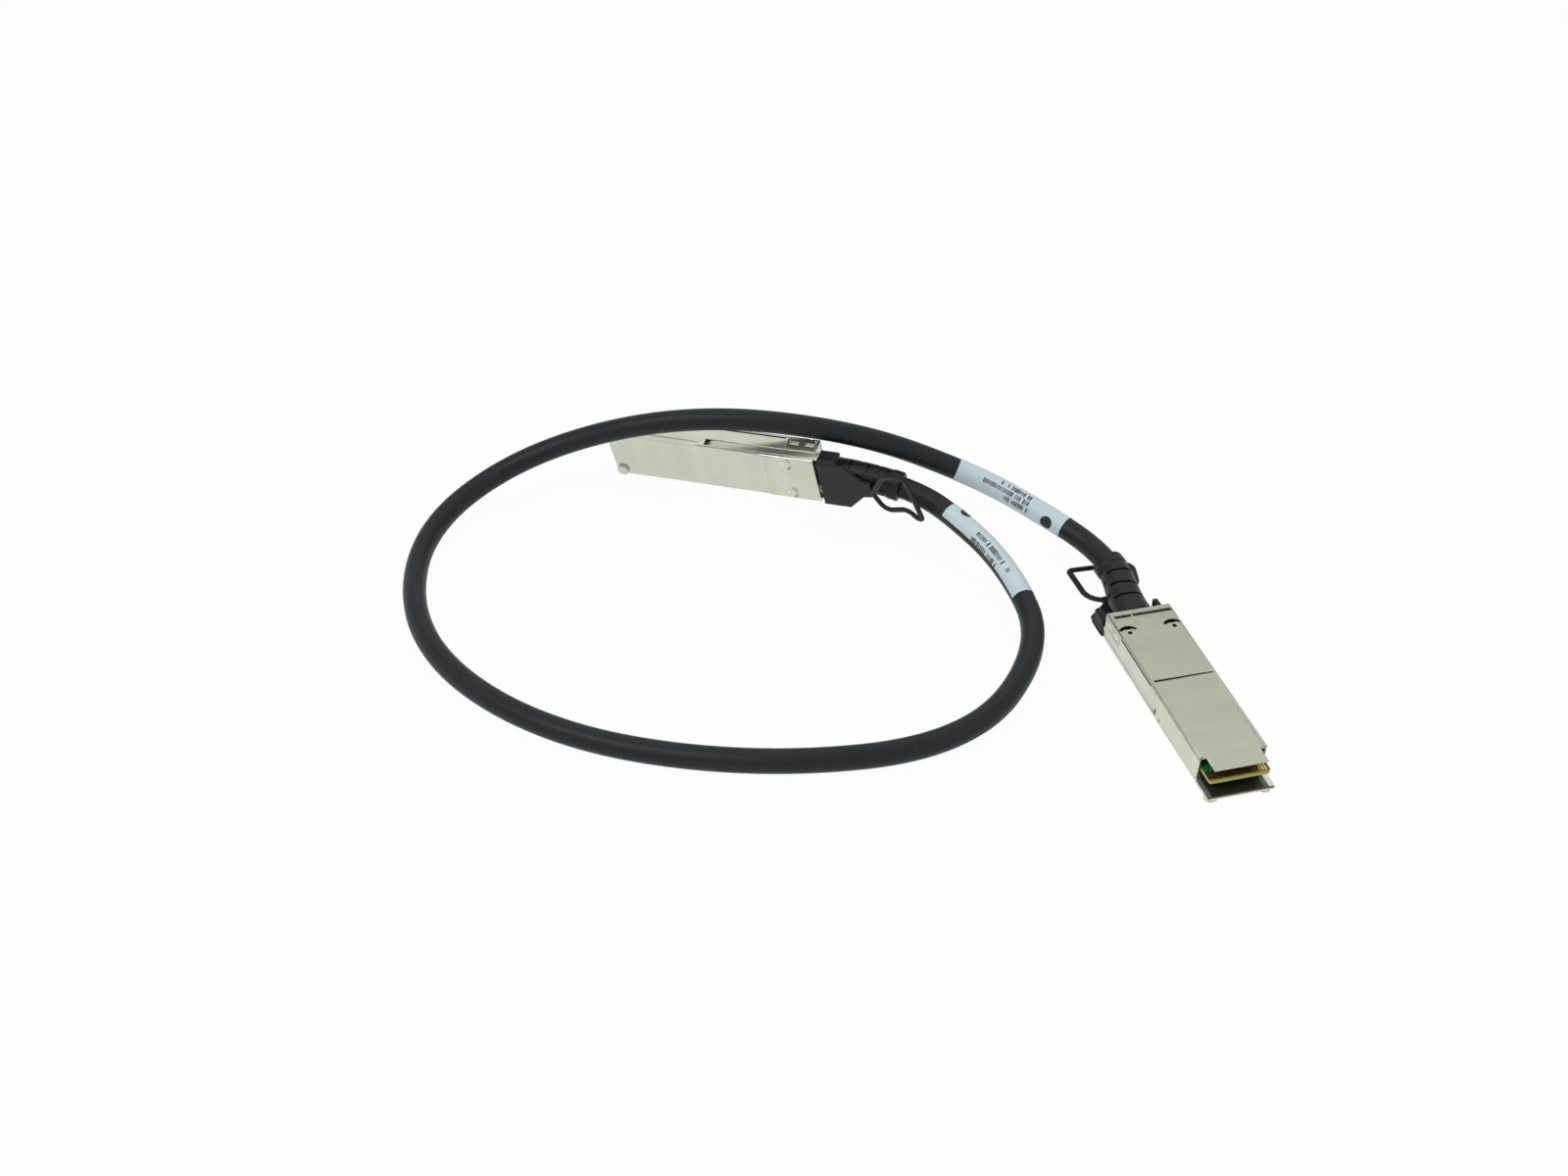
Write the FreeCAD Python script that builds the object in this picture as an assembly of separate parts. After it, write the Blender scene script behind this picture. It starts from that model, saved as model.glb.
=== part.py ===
"""Passive copper cable with a four-lane pluggable connector on each end.

Units are millimetres. +Z is up and the cable lies on the plane Z = 0. One plug lies on its
bottom face, the other stands on a narrow side, and the cable loops from one to the other.
Each plug is modelled in its own frame: x runs from the back of the shell to the mating end,
y is the plug's left and z is the normal of its top face, with the bottom face at z = 0.
"""

import FreeCAD, Part
import math
import os

from FreeCAD import Placement, Rotation, Vector

# Shell
shell_length = 66.4
shell_width = 18.35
shell_height = 8.5
floor_thickness = 1.0
cover_thickness = 0.9
rear_wall = 1.2
lip_reach = 6.8
long_edge_radius = 0.45
seam_depth = 0.3
seam_width = 0.3
seam_start = 10.5
ledge_height = 4.0
ledge_bay = 13.6
rear_plate_length = 16.5
rear_plate_step = 0.25
side_step_height = 1.7
side_step_depth = 0.3
side_step_start = 36.5
foot_radius = 1.8
foot_height = 0.8
foot_spread = 14.4

# Top cover
tongue_width = 14.4
tongue_setback = 1.9
panel_start = 29.5
panel_width = 16.5
panel_depth = 0.25
groove_width = 0.5
groove_depth = 0.25
rim_length = 2.45
rim_slot_width = 0.7
rim_slot_depth = 0.5
rim_slot_side = 1.2
rim_bridge_offset = 3.0
rim_bridge_width = 0.8
rib_thickness = 0.8
rib_depth = 1.0
rib_start = 12.0
rib_setback = 3.6
hold_down_length = 3.0
hold_down_at = (30.0, 48.0)

# Lanced half-moon slits with a dimple, near the back on both broad faces
lance_at = 9.6
lance_spread = 12.8
lance_radius = 2.45
lance_slit = 0.9
lance_half_angle = 62.0
lance_depth = 0.7
dimple_radius = 0.95
dimple_height = 0.3

# Side flaps of the cover, each with two windows that snap over bosses of the shell
flap_start = 0.6
flap_end = 9.7
flap_bottom = 3.5
flap_thickness = 0.4
window_length = 2.9
window_height = 1.1
window_at = (2.6, 7.4)
window_level = 5.9
boss_clearance = 0.15

# Latch arms, their side channels and return springs
arm_thickness = 0.6
arm_height = 2.0
arm_bottom = 0.95
arm_tip = 33.2
arm_tip_bevel = 1.4
arm_clearance = 0.12
channel_end = 34.6
spring_pocket_start = 10.0
spring_pocket_end = 18.0
spring_pocket_depth = 1.3
spring_length = 5.5
spring_wire = 0.2
spring_radius = 0.42
spring_turns = 4
lug_length = 1.2
lug_height = 1.0
seat_gap = 0.05

# Pull tab
tab_thickness = 1.0
tab_front = -1.3
tab_shoulder = -9.6
tab_waist = -14.3
tab_end = -17.0
tab_waist_width = 6.6
tab_end_width = 5.6
ear_inner = 7.6
ear_top = 5.0
ear_face = 9.4
ear_ridge = 10.0
ear_ridge_level = 0.5
ear_foot = 9.0
ear_length = 5.6
loop_bar_width = 1.8
loop_bar_height = 1.2

# Corners of the soft finger loops with their radii, each as it lies, and how far each is bent up
near_loop = ((-14.6, -0.6, 2.0), (-21.0, 9.6, 4.0), (-30.3, 11.8, 2.8),
             (-31.2, -7.2, 1.2), (-18.0, -6.8, 5.5))
far_loop = ((-17.3, -0.6, 1.8), (-22.4, 9.4, 6.0), (-29.6, 12.4, 3.0),
            (-33.8, -6.6, 1.0), (-28.6, -2.6, 3.0), (-21.0, -6.6, 3.2))
near_loop_tilt = 0.0
far_loop_tilt = -13.0

# Paddle card, its contacts and small parts
card_width = 16.42
card_thickness = 1.0
card_start = 20.0
card_setback = 1.6
card_side_gap = 0.1
card_corner = 0.5
contact_count = 19
contact_pitch = 0.8
contact_width = 0.54
contact_length = 2.4
contact_setback = 0.6
contact_thickness = 0.05
chip_size = (4.4, 3.0, 1.0)
chip_at = (38.0, 2.5)
passive_size = (1.0, 0.5, 0.5)
passive_at = ((33.6, 1.4), (33.6, 3.6), (43.0, 1.4), (43.0, 3.6))

# Wire pairs and crimp ferrule
pair_width = 1.1
pair_height = 0.66
pair_pitch = 1.16
pair_chamfer = 0.2
pairs_per_side = 4
pair_end = 26.0
ferrule_outer = 5.8
ferrule_bore = 5.2
ferrule_start = 2.5
ferrule_length = 5.0

# Strain relief
axis_height = 4.65
boot_front = 2.4
boot_length = 29.2
flange_size = (11.6, 5.8)
neck_size = (10.0, 5.0)
body_base_size = (10.5, 7.7)
body_end_size = (9.3, 7.9)
collar_size = (10.0, 8.8)
collar_corner = 4.2
collar_length = 3.6
boot_chamfer = 0.3
boot_slot_at = (9.2, 14.4, 19.8)
boot_slot_shift = 2.6
boot_slot_width = 0.7
boot_slot_depth = 0.36
boot_slot_share = 0.55
neck_corner = 1.2
body_base_corner = 2.4
body_end_corner = 3.6
neck_clearance = 0.1
rib_gap = 0.1
boot_rib = 0.8

# Cable and its labels
cable_diameter = 6.5
cable_setback = 1.0
bend_start = 14.0
arc_share = 0.45
bore_clearance = 0.08
label_thickness = 0.15
near_label_start = 39.5
far_label_start = 37.6
label_length = 37.5

# Resting places: yaw, roll and heel of each plug, and the back of its shell
near_turn = (-75.64, 0.0, 0.0)
near_back = Vector(62.5, -10.0, 0.0)
far_turn = (161.11, 72.17, -4.36)
far_back = Vector(-24.2, 45.0, 0.0)

# Route of the cable between the two boots
route_middle = (
    Vector(54.0, 18.7, 9.0),
    Vector(42.5, 32.2, 11.5),
    Vector(21.0, 43.2, 19.5),
    Vector(-12.5, 48.0, 37.0),
    Vector(-61.5, 63.0, 37.0),
    Vector(-109.0, 66.0, 21.0),
    Vector(-141.5, 33.0, 3.3),
    Vector(-134.5, -18.3, 3.3),
    Vector(-96.5, -54.5, 3.3),
    Vector(-41.5, -67.3, 3.3),
    Vector(12.5, -60.3, 3.3),
    Vector(36.5, -21.3, 3.3),
    Vector(28.5, 13.2, 8.0),
    Vector(16.3, 30.5, 12.3),
    Vector(3.5, 40.4, 13.8),
)

half_width = shell_width / 2
side_wall_end = shell_length - lip_reach
tongue_end = shell_length - tongue_setback
card_front = shell_length - card_setback
rib_end = side_wall_end - rib_setback
seam_height = shell_height - cover_thickness
card_bay = card_width + 2 * card_side_gap
channel_depth = arm_thickness + 2 * arm_clearance
arm_outer = half_width - arm_clearance
arm_inner = arm_outer - arm_thickness
arm_middle = arm_bottom + arm_height / 2
flange_thickness = boot_front - rear_wall - boot_chamfer / 2 - seat_gap
cut_margin = 1.0


def box(x0, x1, y0, y1, z0, z1):
    return Part.makeBox(x1 - x0, y1 - y0, z1 - z0, Vector(x0, y0, z0))


def on_both_sides(shape):
    return [shape, shape.mirror(Vector(), Vector(0, 1, 0))]


def extruded(outline, direction):
    wire = Part.makePolygon(list(outline) + [outline[0]])
    return Part.Face(wire).extrude(direction)


def edges_along(shape, axis, keep):
    return [
        edge
        for edge in shape.Edges
        if abs(abs(edge.tangentAt(edge.FirstParameter).dot(axis)) - 1) < 1e-6
        and keep(edge.CenterOfMass)
    ]


def group(solids):
    return Part.makeCompound(solids)


# Lanced slits and dimples
def lance_slit_cut(y, z0, z1):
    centre = Vector(lance_at, y, z0)
    outer = Part.makeCylinder(lance_radius + lance_slit / 2, z1 - z0, centre)
    inner = Part.makeCylinder(lance_radius - lance_slit / 2, z1 - z0, centre)
    reach = 2 * lance_radius
    spread = reach * math.tan(math.radians(lance_half_angle))
    wedge = extruded(
        (centre, centre + Vector(-reach, spread, 0), centre + Vector(-reach, -spread, 0)),
        Vector(0, 0, z1 - z0),
    )
    return outer.cut(inner).common(wedge)


def dimple(y, z, outward):
    top_radius = dimple_radius / 2
    root = Vector(lance_at, y, z - outward * dimple_height)
    height = 2 * dimple_height
    return Part.makeCone(dimple_radius, top_radius, height, root, Vector(0, 0, outward))


# Lower shell
def boot_opening():
    width = neck_size[0] + 2 * neck_clearance
    low = axis_height - neck_size[1] / 2 - neck_clearance
    return box(-cut_margin, rear_wall + cut_margin, -width / 2, width / 2, low, shell_height)


def lower_shell():
    body = box(0, shell_length, -half_width, half_width, 0, seam_height)
    long_edges = edges_along(body, Vector(1, 0, 0), lambda at: at.z < floor_thickness)
    body = body.makeFillet(long_edge_radius, long_edges)
    far_ahead = shell_length + cut_margin
    above = shell_height + cut_margin
    cuts = [
        box(side_wall_end, far_ahead, -half_width, half_width, floor_thickness, above),
        box(rear_wall, far_ahead, -ledge_bay / 2, ledge_bay / 2, floor_thickness, above),
        box(rear_wall, far_ahead, -card_bay / 2, card_bay / 2, ledge_height, above),
        boot_opening(),
    ]
    cuts += on_both_sides(side_channel())
    cuts += on_both_sides(spring_pocket())
    cuts += on_both_sides(flap_seat())
    cuts += on_both_sides(seam_rabbet())
    cuts += on_both_sides(side_step())
    adds = on_both_sides(foot()) + on_both_sides(boot_rib_block())
    for window_middle in window_at:
        adds += on_both_sides(snap_boss(window_middle))
    adds.append(rear_bottom_plate())
    for y in (-lance_spread / 2, lance_spread / 2):
        adds.append(dimple(y, -rear_plate_step, -1))
    shell = body.cut(cuts).fuse(adds)
    slit_top = lance_depth - rear_plate_step
    slits = [
        lance_slit_cut(y, -rear_plate_step - cut_margin, slit_top)
        for y in (-lance_spread / 2, lance_spread / 2)
    ]
    return shell.cut(slits).removeSplitter()


def side_channel():
    return box(
        -cut_margin, channel_end,
        half_width - channel_depth, half_width + cut_margin,
        arm_bottom - arm_clearance, arm_bottom + arm_height + arm_clearance,
    )


def spring_pocket():
    half_height = lug_height / 2 + arm_clearance
    inner = half_width - channel_depth - spring_pocket_depth
    return box(
        spring_pocket_start, spring_pocket_end,
        inner, half_width,
        arm_middle - half_height, arm_middle + half_height,
    )


def flap_seat():
    return box(
        flap_start - seat_gap, flap_end + seat_gap,
        half_width - flap_thickness - seat_gap, half_width + cut_margin,
        flap_bottom - seat_gap, shell_height,
    )


def seam_rabbet():
    return box(
        seam_start, side_wall_end + cut_margin,
        half_width - seam_depth, half_width + cut_margin,
        seam_height - seam_width, shell_height,
    )


def side_step():
    return box(
        side_step_start, side_wall_end,
        half_width - side_step_depth, half_width + cut_margin,
        -cut_margin, side_step_height,
    )


def foot():
    middle = shell_length - foot_radius
    return Part.makeCylinder(
        foot_radius, foot_height + floor_thickness / 2, Vector(middle, foot_spread / 2, -foot_height)
    )


def boot_rib_block():
    start = boot_front + rib_gap
    inner = flange_size[0] / 2 - rib_thickness
    return box(start, start + boot_rib, inner, ledge_bay / 2, floor_thickness, ledge_height)


def snap_boss(middle):
    half_length = window_length / 2 - boss_clearance
    half_height = window_height / 2 - boss_clearance
    return box(
        middle - half_length, middle + half_length,
        half_width - 2 * flap_thickness, half_width,
        window_level - half_height, window_level + half_height,
    )


def rear_bottom_plate():
    plate = box(0, rear_plate_length, -half_width, half_width, -rear_plate_step, floor_thickness / 2)
    low_edges = edges_along(plate, Vector(1, 0, 0), lambda at: at.z < 0)
    plate = plate.makeFillet(long_edge_radius, low_edges)
    return plate.cut(on_both_sides(side_channel()))


# Top cover
def top_cover():
    plate = box(0, side_wall_end, -half_width, half_width, seam_height, shell_height)
    on_top = shell_height - cover_thickness / 2
    long_edges = edges_along(plate, Vector(1, 0, 0), lambda at: at.z > on_top)
    rear_edges = edges_along(plate, Vector(0, 1, 0), lambda at: at.x < rim_length and at.z > on_top)
    plate = plate.makeFillet(long_edge_radius, long_edges + rear_edges)
    adds = [box(side_wall_end - cut_margin, tongue_end, -tongue_width / 2, tongue_width / 2,
                seam_height, shell_height)]
    adds += on_both_sides(cover_rib())
    adds += on_both_sides(cover_flap())
    for start in hold_down_at:
        adds += on_both_sides(hold_down(start))
    cover = plate.fuse(adds)
    cover = cover.cut(panel_recess() + rim_slots() + cover_lances() + flap_windows())
    bumps = [dimple(y, shell_height, 1) for y in (-lance_spread / 2, lance_spread / 2)]
    return cover.fuse(bumps).removeSplitter()


def cover_rib():
    outer = card_bay / 2 - card_side_gap
    return box(rib_start, rib_end, outer - rib_thickness, outer, seam_height - rib_depth, seam_height)


def hold_down(start):
    outer = card_bay / 2 - card_side_gap
    card_top = ledge_height + card_thickness
    return box(start, start + hold_down_length, outer - rib_thickness, outer,
               card_top, seam_height)


def cover_flap():
    return box(flap_start, flap_end, half_width - flap_thickness, half_width,
               flap_bottom, seam_height + cover_thickness / 2)


def flap_windows():
    windows = []
    for middle in window_at:
        window = box(
            middle - window_length / 2, middle + window_length / 2,
            half_width - flap_thickness - cut_margin, half_width + cut_margin,
            window_level - window_height / 2, window_level + window_height / 2,
        )
        windows += on_both_sides(window)
    return windows


def panel_recess():
    top = shell_height + cut_margin
    panel = box(panel_start, tongue_end + cut_margin, -panel_width / 2, panel_width / 2,
                shell_height - panel_depth, top)
    groove = box(panel_start, panel_start + groove_width, -panel_width / 2, panel_width / 2,
                 shell_height - panel_depth - groove_depth, top)
    return [panel, groove]


def rim_slots():
    low = shell_height - rim_slot_depth
    end = rim_length + rim_slot_width
    bridge_low = -rim_bridge_offset - rim_bridge_width / 2
    bridge_high = -rim_bridge_offset + rim_bridge_width / 2
    spans = ((rim_slot_side - half_width, bridge_low), (bridge_high, half_width + cut_margin))
    return [box(rim_length, end, y0, y1, low, shell_height + cut_margin) for y0, y1 in spans]


def cover_lances():
    low = shell_height - lance_depth
    return [
        lance_slit_cut(y, low, shell_height + cut_margin)
        for y in (-lance_spread / 2, lance_spread / 2)
    ]


# Paddle card and what is soldered to it
def paddle_card():
    outline = (
        Vector(card_start, -card_width / 2, ledge_height),
        Vector(card_front - card_corner, -card_width / 2, ledge_height),
        Vector(card_front, card_corner - card_width / 2, ledge_height),
        Vector(card_front, card_width / 2 - card_corner, ledge_height),
        Vector(card_front - card_corner, card_width / 2, ledge_height),
        Vector(card_start, card_width / 2, ledge_height),
    )
    return extruded(outline, Vector(0, 0, card_thickness))


def card_contacts():
    end = card_front - contact_setback
    first = -(contact_count - 1) * contact_pitch / 2
    card_top = ledge_height + card_thickness
    pads = []
    for index in range(contact_count):
        y = first + index * contact_pitch
        for low in (card_top, ledge_height - contact_thickness):
            pads.append(box(end - contact_length, end, y - contact_width / 2, y + contact_width / 2,
                            low, low + contact_thickness))
    return group(pads)


def card_block(size, at):
    length, width, height = size
    low = ledge_height + card_thickness
    x, y = at
    return box(x - length / 2, x + length / 2, y - width / 2, y + width / 2, low, low + height)


def memory_chip():
    return card_block(chip_size, chip_at)


def card_passives():
    return group([card_block(passive_size, at) for at in passive_at])


def wire_pairs():
    start = -cable_setback
    length = pair_end - start
    first = -(pairs_per_side - 1) * pair_pitch / 2
    card_top = ledge_height + card_thickness
    pairs = []
    for low in (card_top, ledge_height - pair_height):
        for index in range(pairs_per_side):
            y = first + index * pair_pitch
            pair = Part.makeBox(length, pair_width, pair_height, Vector(start, y - pair_width / 2, low))
            long_edges = edges_along(pair, Vector(1, 0, 0), lambda at: True)
            pairs.append(pair.makeChamfer(pair_chamfer, long_edges))
    return group(pairs)


def crimp_ferrule():
    start = Vector(ferrule_start, 0, axis_height)
    forward = Vector(1, 0, 0)
    ring = Part.makeCylinder(ferrule_outer / 2, ferrule_length, start, forward)
    return ring.cut(Part.makeCylinder(ferrule_bore / 2, ferrule_length, start, forward))


# Latch: two steel arms, their springs and the moulded pull tab
def latch_arm():
    tail = tab_front - ear_length + seat_gap
    outline = (
        Vector(tail, arm_inner, arm_bottom),
        Vector(arm_tip, arm_inner, arm_bottom),
        Vector(arm_tip, arm_outer - arm_thickness / 2, arm_bottom),
        Vector(arm_tip - arm_tip_bevel, arm_outer, arm_bottom),
        Vector(tail, arm_outer, arm_bottom),
    )
    arm = extruded(outline, Vector(0, 0, arm_height))
    lug_start = spring_pocket_start + spring_length + 2 * seat_gap
    lug_inner = half_width - channel_depth - spring_pocket_depth + arm_clearance
    lug = box(lug_start, lug_start + lug_length, lug_inner, arm_outer,
              arm_middle - lug_height / 2, arm_middle + lug_height / 2)
    return arm.fuse(lug).removeSplitter()


def latch_arms():
    return group(on_both_sides(latch_arm()))


def return_spring():
    pitch = (spring_length - spring_wire) / spring_turns
    coil = Part.makeHelix(pitch, spring_turns * pitch, spring_radius)
    centre = Vector(spring_radius, 0, 0)
    half_wire = spring_wire / 2
    corners = [centre + Vector(dx * half_wire, 0, dz * half_wire)
               for dx, dz in ((-1, -1), (1, -1), (1, 1), (-1, 1), (-1, -1))]
    wire = Part.Wire(coil).makePipeShell([Part.makePolygon(corners)], True, True)
    y = half_width - channel_depth - spring_pocket_depth + spring_radius + spring_wire
    start = Vector(spring_pocket_start + half_wire + seat_gap, y, arm_middle)
    wire.Placement = Placement(start, Rotation(Vector(0, 1, 0), 90))
    return wire


def return_springs():
    return group(on_both_sides(return_spring()))


def rounded_loop(corners):
    # Closed path of straight runs with an arc of its own radius at each corner
    edges = []
    starts = []
    ends = []
    arcs = []
    points = [Vector(x, y, 0) for x, y, radius in corners]
    for index, (x, y, radius) in enumerate(corners):
        corner = points[index]
        into = (corner - points[index - 1]).normalize()
        out = (points[(index + 1) % len(points)] - corner).normalize()
        half_turn = into.getAngle(out) / 2
        trim = radius * math.tan(half_turn)
        inward = (out - into).normalize()
        middle = corner + inward * (radius / math.cos(half_turn) - radius)
        starts.append(corner - into * trim)
        ends.append(corner + out * trim)
        arcs.append(Part.Arc(starts[-1], middle, ends[-1]).toShape())
    for index, arc in enumerate(arcs):
        edges.append(Part.LineSegment(ends[index - 1], starts[index]).toShape())
        edges.append(arc)
    return edges


def pull_loop(corners, tilt):
    up = Vector(0, 0, 1)

    def bar_section(at, along):
        section = Part.Ellipse(Vector(), loop_bar_width / 2, loop_bar_height / 2).toShape()
        section.Placement = Placement(at, Rotation(up.cross(along), up, along, "ZXY"))
        return section

    loop = swept(rounded_loop(corners), bar_section)
    loop.translate(Vector(0, 0, loop_bar_height / 2 - foot_height))
    loop.rotate(Vector(tab_waist, 0, -foot_height), Vector(0, 1, 0), tilt)
    return loop


def tab_ear():
    outline = (
        Vector(tab_front, ear_inner, -foot_height),
        Vector(tab_front, ear_foot, -foot_height),
        Vector(tab_front, ear_ridge, ear_ridge_level),
        Vector(tab_front, ear_face, arm_middle),
        Vector(tab_front, ear_face, ear_top - arm_thickness),
        Vector(tab_front, ear_face - arm_thickness, ear_top),
        Vector(tab_front, ear_inner, ear_top),
    )
    return extruded(outline, Vector(-ear_length, 0, 0))


def pull_tab(loop_corners, loop_tilt):
    low = -foot_height
    left_side = (
        Vector(tab_front, ear_foot, low),
        Vector(tab_shoulder, ear_foot, low),
        Vector(tab_waist, tab_waist_width / 2, low),
        Vector(tab_end, tab_end_width / 2, low),
    )
    right_side = [Vector(at.x, -at.y, at.z) for at in reversed(left_side)]
    plate = extruded(list(left_side) + right_side, Vector(0, 0, tab_thickness))
    tab = plate.fuse(on_both_sides(tab_ear()) + [pull_loop(loop_corners, loop_tilt)])
    return tab.cut(on_both_sides(latch_arm())).removeSplitter()


# Cable path: straight runs joined by tangent arcs, as large as the runs allow
def cable_edges(points):
    edges = []
    radii = []
    start = points[0]
    for before, corner, after in zip(points, points[1:], points[2:]):
        trim = arc_share * min((corner - before).Length, (after - corner).Length)
        into = (corner - before).normalize()
        out = (after - corner).normalize()
        half_turn = into.getAngle(out) / 2
        radius = trim / math.tan(half_turn)
        middle = corner + (out - into).normalize() * (radius / math.cos(half_turn) - radius)
        edges.append(Part.LineSegment(start, corner - into * trim).toShape())
        edges.append(Part.Arc(corner - into * trim, middle, corner + out * trim).toShape())
        radii.append(radius)
        start = corner + out * trim
    edges.append(Part.LineSegment(start, points[-1]).toShape())
    return edges, radii


def path_span(edges, start, end):
    # The part of a path between two distances along it
    span = []
    done = 0.0
    for edge in edges:
        first = max(start - done, 0.0)
        last = min(end - done, edge.Length)
        if last - first > 1e-6:
            first_at = edge.getParameterByLength(first)
            last_at = edge.getParameterByLength(last)
            span.append(edge.Curve.toShape(first_at, last_at))
        done += edge.Length
    return span


def point_and_direction(edges, distance):
    done = 0.0
    for edge in edges:
        if distance <= done + edge.Length:
            break
        done += edge.Length
    at = edge.getParameterByLength(min(distance - done, edge.Length))
    return edge.valueAt(at), edge.tangentAt(at)


def swept(edges, section_at):
    # Straight stretches are extruded and arcs revolved, so every wall stays a plain surface
    stretches = []
    for edge in edges:
        at = edge.valueAt(edge.FirstParameter)
        along = edge.tangentAt(edge.FirstParameter)
        face = Part.Face(Part.Wire(section_at(at, along)))
        if isinstance(edge.Curve, Part.Line):
            stretches.append(face.extrude(along * edge.Length))
        else:
            centre = edge.Curve.Center
            turn = math.degrees(edge.Length / edge.Curve.Radius)
            stretches.append(face.revolve(centre, (at - centre).cross(along), turn))
    return stretches[0].multiFuse(stretches[1:]) if len(stretches) > 1 else stretches[0]


def tube(edges, radius):
    return swept(edges, lambda at, along: Part.makeCircle(radius, at, along))


def label(edges, start):
    span = path_span(edges, start, start + label_length)
    inner = cable_diameter / 2 + bore_clearance
    return tube(span, inner + label_thickness).cut(tube(span, inner))


# Strain relief: sections set square to the cable's path
def boot_frame(edges, distance, side):
    centre, along = point_and_direction(edges, distance)
    up = along.cross(side).normalize()
    return centre, along, up.cross(along), up


def boot_section(edges, distance, side, size, corner):
    centre, along, across, up = boot_frame(edges, distance, side)
    width, height = size
    half_y = width / 2
    half_z = height / 2
    bend = corner * (1 - math.sqrt(0.5))

    def at(y, z):
        return centre + across * y + up * z

    wire = []
    turns = ((1, 1), (-1, 1), (-1, -1), (1, -1))
    for index, (sy, sz) in enumerate(turns):
        on_side = at(sy * half_y, sz * (half_z - corner))
        on_top = at(sy * (half_y - corner), sz * half_z)
        middle = at(sy * (half_y - bend), sz * (half_z - bend))
        first, last = (on_side, on_top) if sy == sz else (on_top, on_side)
        ny, nz = turns[(index + 1) % len(turns)]
        if sy == sz:
            following = at(ny * (half_y - corner), nz * half_z)
        else:
            following = at(ny * half_y, nz * (half_z - corner))
        wire.append(Part.Arc(first, middle, last).toShape())
        wire.append(Part.LineSegment(last, following).toShape())
    return Part.Wire(wire)


def mixed(first, last, share):
    return tuple(a + (b - a) * share for a, b in zip(first, last))


def boot_body(distance):
    share = (distance - boot_front) / (boot_length - collar_length - boot_front)
    corner = body_base_corner + (body_end_corner - body_base_corner) * share
    return mixed(body_base_size, body_end_size, share), corner


def boot_profile():
    # Distance from the front face, size and corner radius of each section
    body_end = boot_length - collar_length
    neck_start = flange_thickness + boot_chamfer / 2
    base_edge = mixed(body_base_size, neck_size, boot_chamfer)
    end_size = tuple(side - 2 * boot_chamfer for side in collar_size)
    return [
        (0.0, flange_size, neck_corner),
        (flange_thickness, flange_size, neck_corner),
        (neck_start, neck_size, neck_corner),
        (boot_front, neck_size, neck_corner),
        (boot_front + boot_chamfer / 2, base_edge, body_base_corner),
        (boot_front + boot_chamfer, body_base_size, body_base_corner),
        (body_end,) + boot_body(body_end),
        (body_end + boot_chamfer, collar_size, collar_corner),
        (boot_length - 2 * boot_chamfer, collar_size, collar_corner),
        (boot_length, end_size, collar_corner - boot_chamfer),
    ]


def boot_slots(edges, side):
    # Flex slots on the broad faces, and between them on the narrow ones
    slots = []
    for broad_at in boot_slot_at:
        for distance, broad in ((broad_at, True), (broad_at + boot_slot_shift, False)):
            centre, along, across, up = boot_frame(edges, distance, side)
            width, height = boot_body(distance)[0]
            half_long = along * (boot_slot_width / 2)
            if broad:
                out, reach, half_span = up, height / 2, across * (width * boot_slot_share / 2)
            else:
                out, reach, half_span = across, width / 2, up * (height * boot_slot_share / 2)
            for outward in (out, -out):
                floor = centre + outward * (reach - boot_slot_depth)
                outline = (floor - half_long - half_span, floor + half_long - half_span,
                           floor + half_long + half_span, floor - half_long + half_span)
                slots.append(extruded(outline, outward * (boot_slot_depth + cut_margin)))
    return slots


def strain_relief(edges, plug):
    # The edges start at the cable's end, inside the moulding
    front = plug.multVec(Vector(boot_front, 0, axis_height))
    side = plug.Rotation.multVec(Vector(0, -1, 0))
    lead = Part.LineSegment(front, edges[0].valueAt(edges[0].FirstParameter)).toShape()
    path = [lead] + edges
    sections = [boot_section(path, distance, side, size, corner)
                for distance, size, corner in boot_profile()]
    body = Part.makeLoft(sections, True, True)
    bore = tube(path_span(edges, 0.0, boot_length), cable_diameter / 2 + bore_clearance)
    forward = plug.Rotation.multVec(Vector(1, 0, 0))
    cable_end = edges[0].valueAt(edges[0].FirstParameter)
    wire_hole = Part.makeCylinder(
        ferrule_bore / 2, boot_front + cable_setback + cut_margin, cable_end, forward
    )
    return body.cut([bore, wire_hole] + boot_slots(path, side))


def plug_placement(turn, back, lower):
    # The plug is lifted until the lowest point of its shell or tab touches the floor
    yaw, roll, heel = turn
    up = Vector(0, 0, 1)
    rotation = Rotation(up, yaw) * Rotation(Vector(1, 0, 0), roll) * Rotation(up, heel)
    low = min(placed(shape, Placement(back, rotation)).optimalBoundingBox().ZMin for shape in lower)
    return Placement(back - up * low, rotation)


def placed(shape, plug):
    moved = shape.copy()
    moved.Placement = plug.multiply(shape.Placement)
    return moved


def axis_point(plug, x):
    return plug.multVec(Vector(x, 0, axis_height))


def reversed_edges(points):
    return cable_edges(list(reversed(points)))[0]


def plug_parts(loop_corners, loop_tilt):
    return {
        "lower_shell": lower_shell(),
        "top_cover": top_cover(),
        "paddle_card": paddle_card(),
        "card_contacts": card_contacts(),
        "memory_chip": memory_chip(),
        "card_passives": card_passives(),
        "wire_pairs": wire_pairs(),
        "crimp_ferrule": crimp_ferrule(),
        "latch_arms": latch_arms(),
        "return_springs": return_springs(),
        "pull_tab": pull_tab(loop_corners, loop_tilt),
    }


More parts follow.
